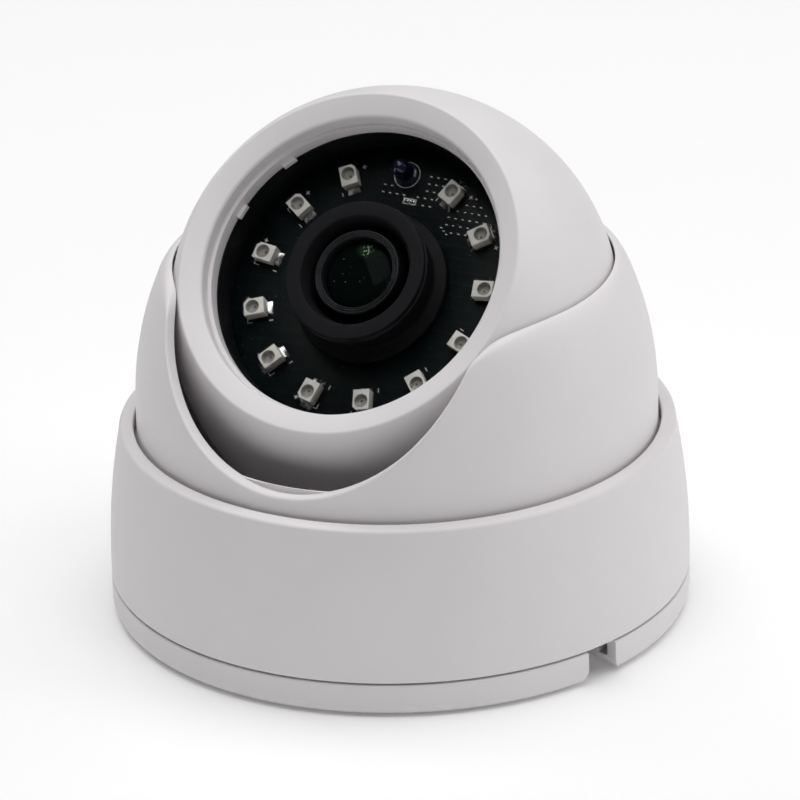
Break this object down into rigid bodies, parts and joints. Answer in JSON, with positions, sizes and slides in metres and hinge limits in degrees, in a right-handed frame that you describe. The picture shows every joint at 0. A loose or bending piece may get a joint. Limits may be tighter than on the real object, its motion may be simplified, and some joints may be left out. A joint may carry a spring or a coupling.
{
  "type": "dome cctv camera",
  "caption": "Round white eyeball camera: base with cable notch, twist-off cover ring, panning shroud with front dip, tilting eyeball with lamp ring and lens.",
  "frame": {"origin": "centre of the base's flat underside, which is also the bottom centre of the bounding box", "axes": "+Z away from the mounting surface along the pan axis; -Y is the way the dip in the shroud and the lens face at rest; +X is the tilt axis"},
  "size_m": [0.096, 0.096, 0.0874],
  "materials": {
    "white_plastic": "fine-grained satin white moulded plastic",
    "black_plastic": "satin black moulded plastic",
    "black_rubber": "matt black rubber",
    "clear_acrylic": "clear polished acrylic",
    "lens_glass": "coated optical glass, nearly black with a green reflection",
    "lamp_package": "pale lamp package plastic with a clear filled well",
    "sensor_plastic": "dark blue filter plastic",
    "board_laminate": "black solder mask over glass laminate",
    "chip_black": "matt chip plastic",
    "connector_white": "off-white nylon",
    "steel": "bright zinc-plated steel",
    "brass": "turned brass"
  },
  "bodies": {
    "base": {"mounting_base": "white_plastic", "cable_grommet": "black_rubber", "friction_ring": "black_rubber"},
    "cover_ring": {"cover_ring": "white_plastic"},
    "shroud": {"shroud": "white_plastic", "trunnion_keeper_left": "black_plastic", "trunnion_keeper_right": "black_plastic"},
    "yoke": {"tilt_yoke": "steel"},
    "eyeball": {"ball_front_shell": "white_plastic", "ball_rear_shell": "white_plastic", "shell_screw_1": "steel", "shell_screw_2": "steel", "shell_screw_3": "steel", "roll_bushing": "black_plastic", "roll_nut": "brass", "front_window": "clear_acrylic", "light_baffle": "black_plastic", "lamp_board": "board_laminate", "light_sensor": "sensor_plastic", "chip_resistor": "chip_black", "lamp_connector": "connector_white", "lens_hood": "black_rubber", "lens_barrel": "black_plastic", "lens_front_element": "lens_glass", "lens_rear_element": "lens_glass", "focus_lock_ring": "steel", "lens_holder": "black_plastic", "infrared_filter": "lens_glass", "image_sensor": "chip_black", "sensor_board": "board_laminate", "holder_screw_1": "steel", "holder_screw_2": "steel", "board_standoff_1": "brass", "board_standoff_2": "brass", "cable_connector": "connector_white", "video_processor": "chip_black", "lamp_01": "lamp_package", "lamp_02": "lamp_package", "lamp_03": "lamp_package", "lamp_04": "lamp_package", "lamp_05": "lamp_package", "lamp_06": "lamp_package", "lamp_07": "lamp_package", "lamp_08": "lamp_package", "lamp_09": "lamp_package", "lamp_10": "lamp_package", "lamp_11": "lamp_package", "lamp_12": "lamp_package"}
  },
  "joints": [
    {"name": "ring_twist", "type": "hinge", "parent": "base", "child": "cover_ring", "pos_m": [0, 0, 0.015], "axis": [0, 0, 1], "range_deg": [0, 18]},
    {"name": "pan", "type": "hinge", "parent": "base", "child": "shroud", "pos_m": [0, 0, 0.03], "axis": [0, 0, 1], "range_deg": [-172, 172]},
    {"name": "tilt", "type": "hinge", "parent": "shroud", "child": "yoke", "pos_m": [0, 0, 0.0507], "axis": [-1, 0, 0], "range_deg": [-36, 48]},
    {"name": "roll", "type": "hinge", "parent": "yoke", "child": "eyeball", "pos_m": [0, 0, 0.0507], "axis": [0, -0.7431, 0.6691], "range_deg": [-175, 175]}
  ]
}
